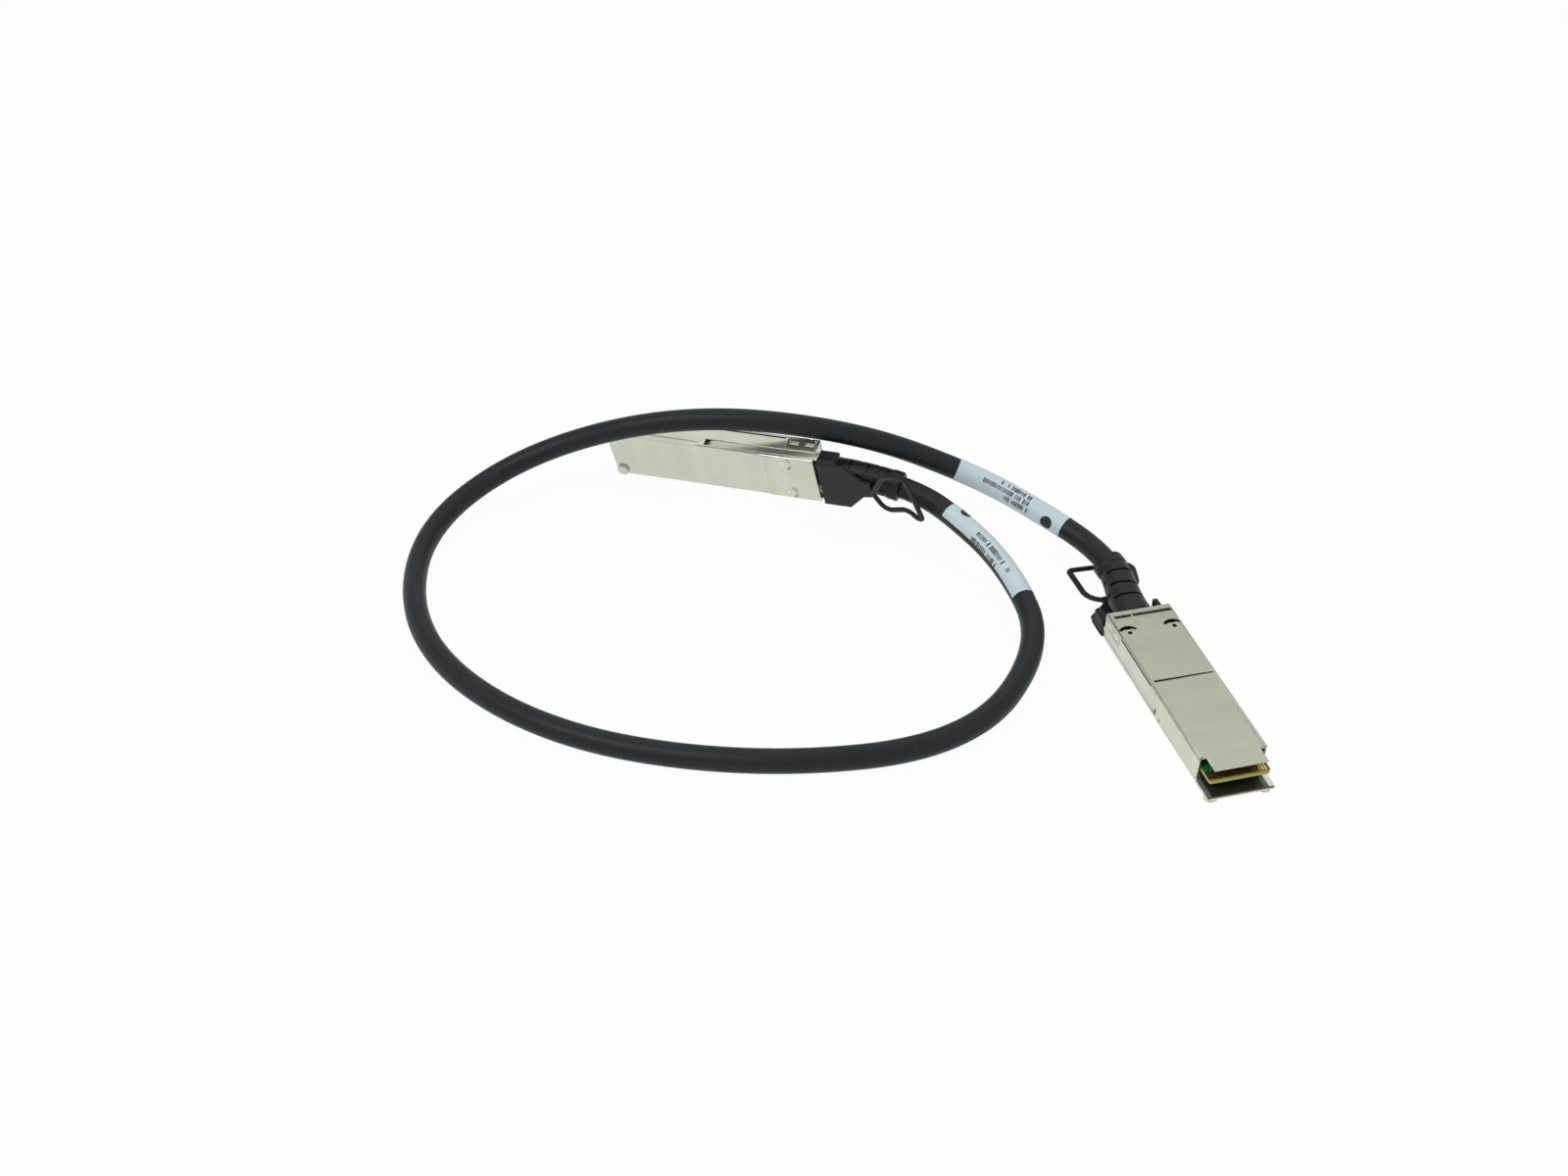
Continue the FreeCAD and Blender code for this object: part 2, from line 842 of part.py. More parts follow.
def build():
    near_parts = plug_parts(near_loop, near_loop_tilt)
    far_parts = plug_parts(far_loop, far_loop_tilt)
    near_plug = plug_placement(near_turn, near_back, (near_parts["lower_shell"], near_parts["pull_tab"]))
    far_plug = plug_placement(far_turn, far_back, (far_parts["lower_shell"], far_parts["pull_tab"]))
    points = [axis_point(near_plug, -cable_setback), axis_point(near_plug, -bend_start)]
    points += list(route_middle)
    points += [axis_point(far_plug, -bend_start), axis_point(far_plug, -cable_setback)]
    edges, radii = cable_edges(points)
    far_edges = reversed_edges(points)
    parts = {
        "cable": tube(edges, cable_diameter / 2),
        "near_label": label(edges, near_label_start),
        "far_label": label(far_edges, far_label_start),
        "near_strain_relief": strain_relief(edges, near_plug),
        "far_strain_relief": strain_relief(far_edges, far_plug),
    }
    for name, plug, pieces in (("near", near_plug, near_parts), ("far", far_plug, far_parts)):
        for piece, shape in pieces.items():
            parts[f"{name}_{piece}"] = placed(shape, plug)
        print(name, "plug stands with the back of its shell at", plug.Base)
    length = sum(edge.Length for edge in edges)
    print("cable length", round(length, 1), "bend radii", [round(radius) for radius in radii])
    print("runs", [round((b - a).Length) for a, b in zip(points, points[1:])])
    section = math.pi * cable_diameter ** 2 / 4
    print("cable volume over section times length", round(parts["cable"].Volume / (section * length), 4))
    return parts


os.makedirs("parts", exist_ok=True)
for node, shape in build().items():
    print(node, "solids", len(shape.Solids), "valid", shape.isValid(), "volume", round(shape.Volume, 2))
    shape.exportStep(f"parts/{node}.step")
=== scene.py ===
import math

import bmesh
import bpy
from mathutils import Matrix, Vector


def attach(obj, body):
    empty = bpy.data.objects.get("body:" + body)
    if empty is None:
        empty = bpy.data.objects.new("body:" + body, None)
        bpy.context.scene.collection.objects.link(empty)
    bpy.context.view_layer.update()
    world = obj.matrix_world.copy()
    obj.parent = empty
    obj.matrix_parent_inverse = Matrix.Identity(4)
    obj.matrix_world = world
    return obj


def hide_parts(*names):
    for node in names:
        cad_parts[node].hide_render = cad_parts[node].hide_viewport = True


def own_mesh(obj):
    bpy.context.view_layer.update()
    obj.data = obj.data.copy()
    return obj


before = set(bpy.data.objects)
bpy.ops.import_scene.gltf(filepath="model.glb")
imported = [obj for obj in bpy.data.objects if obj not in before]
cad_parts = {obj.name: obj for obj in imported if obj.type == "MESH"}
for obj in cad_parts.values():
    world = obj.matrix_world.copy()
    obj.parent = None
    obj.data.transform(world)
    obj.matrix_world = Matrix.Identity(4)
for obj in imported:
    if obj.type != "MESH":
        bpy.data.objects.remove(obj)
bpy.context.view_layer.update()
mm = 0.001
print("frame loaded with", len(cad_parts), "nodes")


def addObject(name, data):
    item = bpy.data.objects.new(name, data)
    bpy.context.scene.collection.objects.link(item)
    return item


# camera, solved from the edges of the flat plug
view = {
    "place": (-33.93, -405.55, 318.07),
    "pitch": 52.64,
    "lens": 42.32,
    "sensor": 36.0,
    "nearest": 0.01,
}


def addCamera():
    data = bpy.data.cameras.new("camera")
    data.lens = view["lens"]
    data.sensor_width = view["sensor"]
    data.clip_start = view["nearest"]
    camera = addObject("camera", data)
    camera.location = Vector(view["place"]) * mm
    camera.rotation_euler = (math.radians(view["pitch"]), 0, 0)
    bpy.context.scene.camera = camera


addCamera()

# where each plug lies: back of its shell in mm, then yaw, roll and heel in degrees
plugs = {
    "near": {"back": (62.5, -10.0, 0.8), "yaw": -75.64, "roll": 0.0, "heel": 0.0},
    "far": {"back": (-24.2, 45.0, 13.468), "yaw": 161.11, "roll": 72.17, "heel": -4.36},
}


def plugMatrix(side):
    plug = plugs[side]
    turn = (
        Matrix.Rotation(math.radians(plug["yaw"]), 4, "Z")
        @ Matrix.Rotation(math.radians(plug["roll"]), 4, "X")
        @ Matrix.Rotation(math.radians(plug["heel"]), 4, "Z")
    )
    return Matrix.Translation(Vector(plug["back"]) * mm) @ turn


# cord: out of one boot, over the other plug, round the table and into the second boot
cord = {
    "diameter": 6.5,
    "setback": 1.0,
    "length": 0.6,
    "steps": 16,
    "rings": 7,
    "route": (
        (0.06225, -0.00903, 0.00545), (0.06058, -0.0025, 0.00545), (0.05969, 0.01051, 0.00636),
        (0.0538, 0.02193, 0.00732), (0.04546, 0.02955, 0.00954), (0.02347, 0.0474, 0.01395),
        (-0.0147, 0.0499, 0.02865), (-0.0649, 0.05457, 0.03107), (-0.11307, 0.06211, 0.01223),
        (-0.1415, 0.033, 0.0033), (-0.1345, -0.0183, 0.0033), (-0.0965, -0.0545, 0.0033),
        (-0.0415, -0.0673, 0.0033), (0.01368, -0.05885, 0.0033), (0.03691, -0.01819, 0.0033),
        (0.02859, 0.01206, 0.008), (0.01334, 0.032, 0.0123), (0.00358, 0.04006, 0.0138),
        (-0.00967, 0.04436, 0.0159), (-0.02183, 0.04884, 0.01496),
    ),
}


def routeCurve(name, bevel):
    data = bpy.data.curves.new(name, "CURVE")
    data.dimensions = "3D"
    data.resolution_u = cord["steps"]
    data.bevel_depth = bevel
    data.bevel_resolution = cord["rings"]
    data.use_fill_caps = bevel > 0
    points = cord["route"]
    spline = data.splines.new("NURBS")
    spline.points.add(len(points) - 1)
    for slot, point in zip(spline.points, points):
        slot.co = (*point, 1.0)
    spline.order_u = 3
    spline.use_endpoint_u = True
    return addObject(name, data)


def plainMesh(source):
    depsgraph = bpy.context.evaluated_depsgraph_get()
    return bpy.data.meshes.new_from_object(source.evaluated_get(depsgraph), depsgraph=depsgraph)


def readLine():
    bare = routeCurve("routeReading", 0.0)
    mesh = plainMesh(bare)
    bpy.data.objects.remove(bare)
    return addObject("routeLine", mesh)


cable = routeCurve("cable_jacket_run", cord["diameter"] / 2 * mm)
routeLine = readLine()
linePoints = [vertex.co.copy() for vertex in routeLine.data.vertices]
lineLength = sum((b - a).length for a, b in zip(linePoints, linePoints[1:]))
print("cord runs", round(lineLength, 4), "m")


def alongLine(distance, backwards=False):
    # point and direction on the cord, before its start the line goes straight on
    points = linePoints[::-1] if backwards else linePoints
    if distance < 0:
        direction = (points[1] - points[0]).normalized()
        return points[0] + direction * distance, direction
    done = 0.0
    for a, b in zip(points, points[1:]):
        step = (b - a).length
        if distance <= done + step:
            return a.lerp(b, (distance - done) / step), (b - a).normalized()
        done += step
    return points[-1], (points[-1] - points[-2]).normalized()


# materials: colours in srgb, noise scales per metre, bump depths in metres
def srgb(red, green, blue):
    def linear(value):
        value /= 255
        return value / 12.92 if value <= 0.04045 else ((value + 0.055) / 1.055) ** 2.4

    return (linear(red), linear(green), linear(blue), 1.0)


def addNode(tree, kind, settings=None, inputs=None):
    node = tree.nodes.new(kind)
    for name, value in (settings or {}).items():
        setattr(node, name, value)
    for name, value in (inputs or {}).items():
        if isinstance(value, bpy.types.NodeSocket):
            tree.links.new(value, node.inputs[name])
        else:
            node.inputs[name].default_value = value
    return node


def calculate(tree, operation, first, second=0.0, third=0.0):
    node = addNode(tree, "ShaderNodeMath", {"operation": operation},
                   {0: first, 1: second, 2: third})
    return node.outputs[0]


def noise(tree, place, scale, detail, roughness=0.5):
    node = addNode(tree, "ShaderNodeTexNoise", None,
                   {"Vector": place, "Scale": scale, "Detail": detail, "Roughness": roughness})
    return node.outputs["Fac"]


def stretched(tree, place, stretch):
    node = addNode(tree, "ShaderNodeVectorMath", {"operation": "MULTIPLY"}, {0: place, 1: stretch})
    return node.outputs["Vector"]


def mapped(tree, value, source, target, smooth=False):
    node = addNode(tree, "ShaderNodeMapRange",
                   {"interpolation_type": "SMOOTHSTEP" if smooth else "LINEAR"},
                   {"Value": value, "From Min": source[0], "From Max": source[1],
                    "To Min": target[0], "To Max": target[1]})
    return node.outputs["Result"]


def between(tree, value, low, high, soft):
    # 1 inside low to high, with soft borders
    rise = mapped(tree, value, (low - soft, low + soft), (0.0, 1.0), True)
    fall = mapped(tree, value, (high - soft, high + soft), (1.0, 0.0), True)
    return calculate(tree, "MULTIPLY", rise, fall)


def mixColour(tree, factor, first, second):
    # sockets 6, 7 and 2 are those for colours
    node = addNode(tree, "ShaderNodeMix", {"data_type": "RGBA"}, {0: factor, 6: first, 7: second})
    return node.outputs[2]


def newGroup(name, treeKind, inputs, outputs):
    tree = bpy.data.node_groups.new(name, treeKind)
    for label, kind, *start in inputs:
        socket = tree.interface.new_socket(label, in_out="INPUT", socket_type="NodeSocket" + kind)
        if start:
            socket.default_value = start[0]
    for label, kind in outputs:
        tree.interface.new_socket(label, in_out="OUTPUT", socket_type="NodeSocket" + kind)
    given = tree.nodes.new("NodeGroupInput").outputs
    return tree, given, tree.nodes.new("NodeGroupOutput").inputs


def fineGrainGroup():
    tree, given, result = newGroup(
        "fineGrain", "ShaderNodeTree",
        (("Vector", "Vector"), ("Grain Scale", "Float", 2500.0), ("Patch Scale", "Float", 90.0),
         ("Patch Strength", "Float", 0.15)),
        (("Tint", "Float"), ("Height", "Float")),
    )
    grain = noise(tree, given["Vector"], given["Grain Scale"], detail=2.0)
    patch = noise(tree, given["Vector"], given["Patch Scale"], detail=4.0, roughness=0.6)
    centred = calculate(tree, "SUBTRACT", patch, 0.5)
    swing = calculate(tree, "MULTIPLY", centred, given["Patch Strength"])
    tree.links.new(calculate(tree, "ADD", swing, 1.0), result["Tint"])
    tree.links.new(grain, result["Height"])
    return tree


# clouds, brushed lines, specks and slow waves of the plating, and the gain of the painted highlight
# on eased edges
platingGrain = {
    "cloudScale": 110.0,
    "roughClouds": (0.3, 0.7),
    "tintClouds": (0.25, 0.75),
    "tints": (0.96, 1.03),
    "brushing": (60.0, 2600.0, 2600.0),
    "speckScale": 3500.0,
    "speckShare": 0.2,
    "waves": (150.0, 18.0, 18.0),
    "streaks": 0.2,
    "edgeHighlightGain": 0.35,
}


def platingGroup():
    tree, given, result = newGroup(
        "plating", "ShaderNodeTree",
        (("Vector", "Vector"), ("Edge", "Float", 0.0), ("Low Roughness", "Float", 0.2),
         ("High Roughness", "Float", 0.36), ("Waviness", "Float", 1.0)),
        (("Tint", "Float"), ("Roughness", "Float"), ("Height", "Float")),
    )
    place = given["Vector"]
    cloud = noise(tree, place, platingGrain["cloudScale"], detail=5.0, roughness=0.55)
    speck = noise(tree, place, platingGrain["speckScale"], detail=1.0)
    lines = noise(tree, stretched(tree, place, platingGrain["brushing"]), scale=1.0, detail=3.0)
    waves = noise(tree, stretched(tree, place, platingGrain["waves"]), scale=1.0, detail=1.0)
    rough = mapped(tree, cloud, platingGrain["roughClouds"],
                   (given["Low Roughness"], given["High Roughness"]))
    tint = mapped(tree, cloud, platingGrain["tintClouds"], platingGrain["tints"])
    swing = platingGrain["streaks"]
    streaks = calculate(tree, "MULTIPLY_ADD", waves, swing, -swing / 2)
    streaked = calculate(tree, "ADD", tint, streaks)
    # painted highlight: eased edges are made lighter through the Edge input
    brighter = calculate(tree, "MULTIPLY_ADD", given["Edge"], platingGrain["edgeHighlightGain"], streaked)
    fine = calculate(tree, "MULTIPLY_ADD", speck, platingGrain["speckShare"], lines)
    height = calculate(tree, "MULTIPLY_ADD", waves, given["Waviness"], fine)
    tree.links.new(brighter, result["Tint"])
    tree.links.new(rough, result["Roughness"])
    tree.links.new(height, result["Height"])
    return tree


fineGrain = fineGrainGroup()
plating = platingGroup()


def newMaterial(name, settings):
    material = bpy.data.materials.new(name)
    material.use_nodes = True
    tree = material.node_tree
    shader = tree.nodes["Principled BSDF"]
    for label, value in settings.items():
        shader.inputs[label].default_value = value
    place = addNode(tree, "ShaderNodeTexCoord").outputs["Object"]
    return material, tree, shader, place


def groupNode(tree, group, inputs):
    return addNode(tree, "ShaderNodeGroup", {"node_tree": group}, inputs).outputs


def grainNode(tree, place, look):
    return groupNode(tree, fineGrain, {"Vector": place, "Grain Scale": look["grain"],
                                       "Patch Scale": look["patch"],
                                       "Patch Strength": look["mottle"]})


def tinted(tree, colour, tint):
    plain = colour if isinstance(colour, bpy.types.NodeSocket) else colour[:3]
    node = addNode(tree, "ShaderNodeVectorMath", {"operation": "SCALE"}, {0: plain, "Scale": tint})
    return node.outputs["Vector"]


def bumped(tree, shader, height, look):
    bump = addNode(tree, "ShaderNodeBump", None,
                   {"Height": height, "Distance": look["bumpDepth"], "Strength": look["bump"]})
    tree.links.new(bump.outputs["Normal"], shader.inputs["Normal"])


def onPlugPlace(tree, place, side):
    # plug's own x, y, z
    location, rotation, _ = plugMatrix(side).decompose()
    mapping = addNode(tree, "ShaderNodeMapping", {"vector_type": "TEXTURE"},
                      {"Vector": place, "Location": location, "Rotation": rotation.to_euler()})
    return mapping.outputs["Vector"]


def bothSides(alongRange, sideRange, heightRange, share):
    mirrored = (-sideRange[1], -sideRange[0])
    return ((alongRange, sideRange, heightRange, share), (alongRange, mirrored, heightRange, share))


# painted shade on each plated piece: its inner hollows, seam gaps and the cover's rim slot get a
# near-black colour, and the lip's floor and front edge get it as a painted dark reflection; x, y
# and z ranges on the plug in mm, then how dark
paintedShadeBoxes = {
    "Cover": (
        ((4.0, 59.0), (-8.95, 8.95), (7.7, 8.2), 1.0),
        ((4.0, 29.0), (-8.95, 8.95), (7.7, 8.45), 1.0),
        ((1.0, 4.0), (-8.95, 8.95), (7.7, 8.45), 0.8),
        *bothSides((0.6, 11.2), (9.0, 9.3), (8.15, 8.4), 0.75),
    ),
    "Shell": (
        ((12.0, 59.7), (-8.8, 8.8), (0.9, 7.7), 0.92),
        ((59.5, 66.3), (-7.7, 7.7), (0.95, 1.05), 0.85),
        ((66.25, 66.6), (-8.9, 8.9), (0.5, 1.05), 0.9),
        *bothSides((10.4, 30.0), (8.6, 9.2), (7.1, 7.65), 1.0),
    ),
    "Latch": (),
}
# painted highlights: near-white, barely metallic colour on the bosses, the flaps' windows round
# them, the feet, and the lances and dimples below
bosses = (
    *bothSides((1.2, 4.0), (8.6, 9.3), (5.4, 6.4), 1.0),
    *bothSides((6.0, 8.8), (8.6, 9.3), (5.4, 6.4), 1.0),
)
windows = (
    *bothSides((0.9, 4.3), (8.0, 9.14), (5.1, 6.7), 1.0),
    *bothSides((5.7, 9.1), (8.0, 9.14), (5.1, 6.7), 1.0),
)
paintedHighlightBoxes = {
    "Cover": windows,
    "Shell": (
        *bosses,
        *windows,
        *bothSides((62.5, 66.6), (5.2, 9.2), (-0.9, -0.1), 0.9),
        *bothSides((8.5, 10.7), (5.3, 7.5), (-0.6, -0.28), 0.9),
        ((5.5, 13.0), (-8.95, 8.95), (-0.2, 0.5), 0.7),
    ),
    "Latch": (),
}
# plated finish: painted highlights are near-white and barely metallic, painted shade is near-black
plated = {
    "metallic": 0.75,
    "paintedHighlightMetallic": 0.15,
    "paintedHighlight": (252, 252, 248),
    "paintedShade": (34, 33, 28),
    "border": 0.01,
    "bump": 0.16,
    "bumpDepth": 0.000002,
}
platedLooks = {
    "Shell": {"name": "plated_shell", "colour": (208, 210, 194), "low": 0.16, "high": 0.3,
              "waviness": 8.0},
    "Cover": {"name": "plated_cover", "colour": (178, 180, 165), "low": 0.2, "high": 0.3,
              "waviness": 2.0},
    "Latch": {"name": "latch_steel", "colour": (200, 200, 190), "low": 0.2, "high": 0.3,
              "waviness": 1.0},
}


def inBoxes(tree, local, boxes):
    parts = addNode(tree, "ShaderNodeSeparateXYZ", None, {"Vector": local}).outputs
    whole = 0.0
    for alongRange, sideRange, heightRange, share in boxes:
        inside = share
        for axis, (low, high) in (("X", alongRange), ("Y", sideRange), ("Z", heightRange)):
            band = between(tree, parts[axis], low * mm, high * mm, plated["border"] * mm)
            inside = calculate(tree, "MULTIPLY", inside, band)
        whole = calculate(tree, "MAXIMUM", whole, inside)
    return whole


def platedMetal(side, piece):
    look = platedLooks[piece]
    material, tree, shader, place = newMaterial(f"{side}_{look['name']}",
                                                {"Metallic": plated["metallic"]})
    local = onPlugPlace(tree, place, side)
    # eased faces are marked in edgeWear and get a painted highlight
    edge = addNode(tree, "ShaderNodeAttribute", {"attribute_name": "edgeWear"}).outputs["Fac"]
    highlighted = groupNode(tree, plating, {"Vector": local, "Edge": edge, "Low Roughness": look["low"],
                                     "High Roughness": look["high"],
                                     "Waviness": look["waviness"]})
    metal = tinted(tree, srgb(*look["colour"]), highlighted["Tint"])
    # painted highlight: near-white, barely metallic colour in the highlight boxes
    if paintedHighlightBoxes[piece]:
        paintedHighlight = inBoxes(tree, local, paintedHighlightBoxes[piece])
        metal = mixColour(tree, paintedHighlight, metal, srgb(*plated["paintedHighlight"]))
        change = plated["paintedHighlightMetallic"] - plated["metallic"]
        metallic = calculate(tree, "MULTIPLY_ADD", paintedHighlight, change, plated["metallic"])
        tree.links.new(metallic, shader.inputs["Metallic"])
    # painted shade and painted dark reflection: near-black colour in the shade boxes
    shadeMask = inBoxes(tree, local, paintedShadeBoxes[piece])
    shaded = mixColour(tree, shadeMask, metal, srgb(*plated["paintedShade"]))
    tree.links.new(shaded, shader.inputs["Base Color"])
    tree.links.new(highlighted["Roughness"], shader.inputs["Roughness"])
    bumped(tree, shader, highlighted["Height"], plated)
    return material


# plain materials: one colour under fine grain, with patches that change its tint
moulded = {"patch": 120.0, "mottle": 0.35, "roughSwing": 0.25, "bump": 0.5}
printed = {"settings": {"Specular IOR Level": 0.3}, "grain": 5000.0, "patch": 1500.0,
           "mottle": 0.8, "rough": 0.45, "roughSwing": 0.2}
bare = {"settings": {"Metallic": 1.0}, "mottle": 0.4, "roughSwing": 0.2, "bump": 0.3,
        "bumpDepth": 0.000005}
dust = {"colour": (84, 88, 90), "scale": 700.0, "detail": 6.0, "roughness": 0.7,
        "range": (0.56, 0.75), "share": 0.2}
looks = {
    "jacket": {"name": "jacket_polymer", "settings": {"Specular IOR Level": 0.26},
               "colour": (26, 30, 32), "grain": 1800.0, "patch": 45.0, "mottle": 0.45,
               "rough": 0.34, "roughSwing": 0.25, "bump": 0.4, "bumpDepth": 0.00002, "dust": dust},
    "boot": {**moulded, "name": "boot_polymer", "settings": {"Specular IOR Level": 0.27},
             "colour": (23, 25, 25), "grain": 2600.0, "rough": 0.3, "bumpDepth": 0.00002},
    "tab": {**moulded, "name": "tab_polymer", "settings": {"Specular IOR Level": 0.25},
            "colour": (27, 29, 29), "grain": 3000.0, "rough": 0.34, "bumpDepth": 0.00002},
    "film": {"name": "label_film", "settings": {"Specular IOR Level": 0.4},
             "colour": (206, 223, 229), "grain": 1200.0, "patch": 70.0, "mottle": 0.08,
             "rough": 0.34, "roughSwing": 0.2, "bump": 0.25, "bumpDepth": 0.00001},
    "ink": {**printed, "name": "print_ink", "colour": (84, 92, 98)},
    "spot": {**printed, "name": "spot_ink", "colour": (42, 46, 48)},
    "gold": {**bare, "name": "contact_gold", "colour": (222, 184, 110), "grain": 3000.0,
             "patch": 375.0, "rough": 0.2},
    "chip": {**moulded, "name": "chip_body", "settings": {"Specular IOR Level": 0.4},
             "colour": (30, 30, 32), "grain": 6000.0, "rough": 0.38, "bumpDepth": 0.00001},
    "ceramic": {**moulded, "name": "passive_ceramic", "settings": {"Specular IOR Level": 0.5},
                "colour": (150, 128, 98), "grain": 6000.0, "rough": 0.33, "bumpDepth": 0.00001},
    "foil": {**bare, "name": "pair_foil", "colour": (205, 206, 208), "grain": 1500.0,
             "patch": 187.5, "rough": 0.3},
    "ferrule": {**bare, "name": "ferrule_metal", "colour": (196, 184, 150), "grain": 1500.0,
                "patch": 187.5, "rough": 0.3},
    "spring": {**bare, "name": "spring_steel", "colour": (188, 188, 188), "grain": 3000.0,
               "patch": 375.0, "rough": 0.25},
}


def dusted(tree, place, colour, dust):
    specks = noise(tree, place, dust["scale"], dust["detail"], dust["roughness"])
    mask = mapped(tree, specks, dust["range"], (0.0, dust["share"]))
    return mixColour(tree, mask, colour, srgb(*dust["colour"]))


def plainMaterial(look):
    material, tree, shader, place = newMaterial(look["name"], look["settings"])
    grain = grainNode(tree, place, look)
    colour = tinted(tree, srgb(*look["colour"]), grain["Tint"])
    if "dust" in look:
        colour = dusted(tree, place, colour, look["dust"])
    tree.links.new(colour, shader.inputs["Base Color"])
    rough = calculate(tree, "MULTIPLY_ADD", grain["Height"], look["roughSwing"], look["rough"])
    tree.links.new(rough, shader.inputs["Roughness"])
    if "bump" in look:
        bumped(tree, shader, grain["Height"], look)
    return material


# circuit card: heights and zones in mm on the plug, then the look of each zone
card = {
    "beyond": 1000.0,
    "low": 4.0,
    "high": 5.0,
    "rimEdge": 0.03,
    "rimBorder": 0.01,
    "fingerStart": 61.2,
    "fingerEnd": 64.3,
    "border": 0.05,
    "pitch": 0.8,
    "traces": 0.12,
    "maskColour": (12, 116, 58),
    "traceColour": (44, 156, 88),
    "fingerColour": (66, 52, 24),
    "noseColour": (150, 142, 70),
    "rimColour": (176, 176, 96),
    "rough": 0.28,
    "rimRough": 0.3,
    "grain": 4000.0,
    "patch": 400.0,
    "mottle": 0.3,
    "bump": 0.3,
    "bumpDepth": 0.000006,
}


def circuitCard(side):
    material, tree, shader, place = newMaterial(f"{side}_circuit_card", {"Specular IOR Level": 0.5})
    local = onPlugPlace(tree, place, side)
    parts = addNode(tree, "ShaderNodeSeparateXYZ", None, {"Vector": local}).outputs
    grain = grainNode(tree, local, card)
    middle = (card["low"] + card["high"]) / 2 * mm
    rimHeight = ((card["high"] - card["low"]) / 2 - card["rimEdge"]) * mm
    start, end, beyond = (card[key] * mm for key in ("fingerStart", "fingerEnd", "beyond"))
    border = card["border"] * mm
    fromMiddle = calculate(tree, "ABSOLUTE", calculate(tree, "SUBTRACT", parts["Z"], middle))
    rim = between(tree, fromMiddle, -beyond, rimHeight, card["rimBorder"] * mm)
    fingers = between(tree, parts["X"], start, end, border)
    nose = between(tree, parts["X"], end, beyond, border)
    phase = calculate(tree, "MULTIPLY", parts["Y"], math.tau / (card["pitch"] * mm))
    stripe = calculate(tree, "SINE", phase)
    traces = calculate(tree, "MULTIPLY_ADD", stripe, card["traces"], card["traces"])
    colour = mixColour(tree, traces, srgb(*card["maskColour"]), srgb(*card["traceColour"]))
    for zone, zoneColour in ((fingers, "fingerColour"), (nose, "noseColour"), (rim, "rimColour")):
        colour = mixColour(tree, zone, colour, srgb(*card[zoneColour]))
    tree.links.new(tinted(tree, colour, grain["Tint"]), shader.inputs["Base Color"])
    rough = calculate(tree, "MULTIPLY_ADD", rim, card["rimRough"], card["rough"])
    tree.links.new(rough, shader.inputs["Roughness"])
    bumped(tree, shader, grain["Height"], card)
    return material


finishes = {name: plainMaterial(look) for name, look in looks.items()}
for side in plugs:
    for piece in platedLooks:
        finishes[side + piece] = platedMetal(side, piece)
    finishes[f"{side}Card"] = circuitCard(side)
print("materials made", len(finishes))


# pieces
def addPiece(name, mesh, material, body, replaced):
    piece = addObject(name, mesh)
    if material:
        mesh.materials.clear()
        mesh.materials.append(material)
    finishPiece(piece, body, replaced)
    return piece


def finishPiece(piece, body, replaced):
    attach(piece, body)
    if replaced:
        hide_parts(*replaced)


# shading of eased and of round pieces: angles in degrees that stay smooth, weight of big faces
shading = {"eased": 50.0, "round": 40.0, "weight": 80}


def smoothFaces(mesh, angle):
    for polygon in mesh.polygons:
        polygon.use_smooth = True
    mesh.set_sharp_from_angle(angle=math.radians(angle))


def meshFrom(work, name):
    mesh = bpy.data.meshes.new(name)
    work.to_mesh(mesh)
    work.free()
    return mesh


def outwardMesh(work, name):
    bmesh.ops.recalc_face_normals(work, faces=work.faces)
    return meshFrom(work, name)


def cutAway(blank, cutter):
    holder = addObject(blank.name, blank)
    tool = addObject(cutter.name, cutter)
    cut = holder.modifiers.new("cut", "BOOLEAN")
    cut.operation = "DIFFERENCE"
    cut.solver = "EXACT"
    cut.object = tool
    mesh = plainMesh(holder)
    for item in (holder, tool):
        bpy.data.objects.remove(item)
    return mesh


def addSections(work, sections):
    # closed bar through sections with the same number of points each
    corners = [[work.verts.new(point) for point in section] for section in sections]
    for first, second in zip(corners, corners[1:]):
        for index in range(len(first)):
            after = (index + 1) % len(first)
            work.faces.new((first[index], first[after], second[after], second[index]))
    work.faces.new(corners[0][::-1])
    work.faces.new(corners[-1])


# press work in the cover: crescents, pierced dimples and the long rim slots, in mm on the plug
press = {
    "lance": (9.6, 6.4),
    "radius": 3.0,
    "width": 1.45,
    "endWidth": 0.15,
    "halfAngle": 66.0,
    "steps": 18,
    "pierced": 0.66,
    "piercedSides": 24,
    "slots": ((-8.0, -3.1), (-2.75, 8.4)),
    "slotAlong": (1.95, 2.95),
    "lanceFloor": 7.75,
    "slotFloor": 7.95,
    "above": 9.3,
}


def pressCutters(side):
    work = bmesh.new()
    along, across = press["lance"]
    floor, above = press["lanceFloor"], press["above"]
    for middle in (-across, across):
        sections = []
        for step in range(press["steps"] + 1):
            share = 2 * step / press["steps"] - 1
            angle = math.radians(press["halfAngle"] * share)
            inner = press["radius"] - press["endWidth"] - press["width"] * (1 - share * share)
            near, far = [(along - reach * math.cos(angle), middle + reach * math.sin(angle))
                         for reach in (inner, press["radius"])]
            sections.append([(*near, floor), (*far, floor), (*far, above), (*near, above)])
        addSections(work, sections)
        place = Matrix.Translation((along, middle, floor + (above - floor) / 2))
        bmesh.ops.create_cone(work, cap_ends=True, segments=press["piercedSides"],
                              radius1=press["pierced"], radius2=press["pierced"],
                              depth=above - floor, matrix=place)
    back, ahead = press["slotAlong"]
    floor = press["slotFloor"]
    for low, high in press["slots"]:
        middle = ((back + ahead) / 2, (low + high) / 2, (floor + above) / 2)
        size = Matrix.Diagonal((ahead - back, high - low, above - floor, 1.0))
        bmesh.ops.create_cube(work, size=1.0, matrix=Matrix.Translation(middle) @ size)
    mesh = outwardMesh(work, f"{side}_press_work")
    mesh.transform(plugMatrix(side) @ Matrix.Scale(mm, 4))
    return mesh


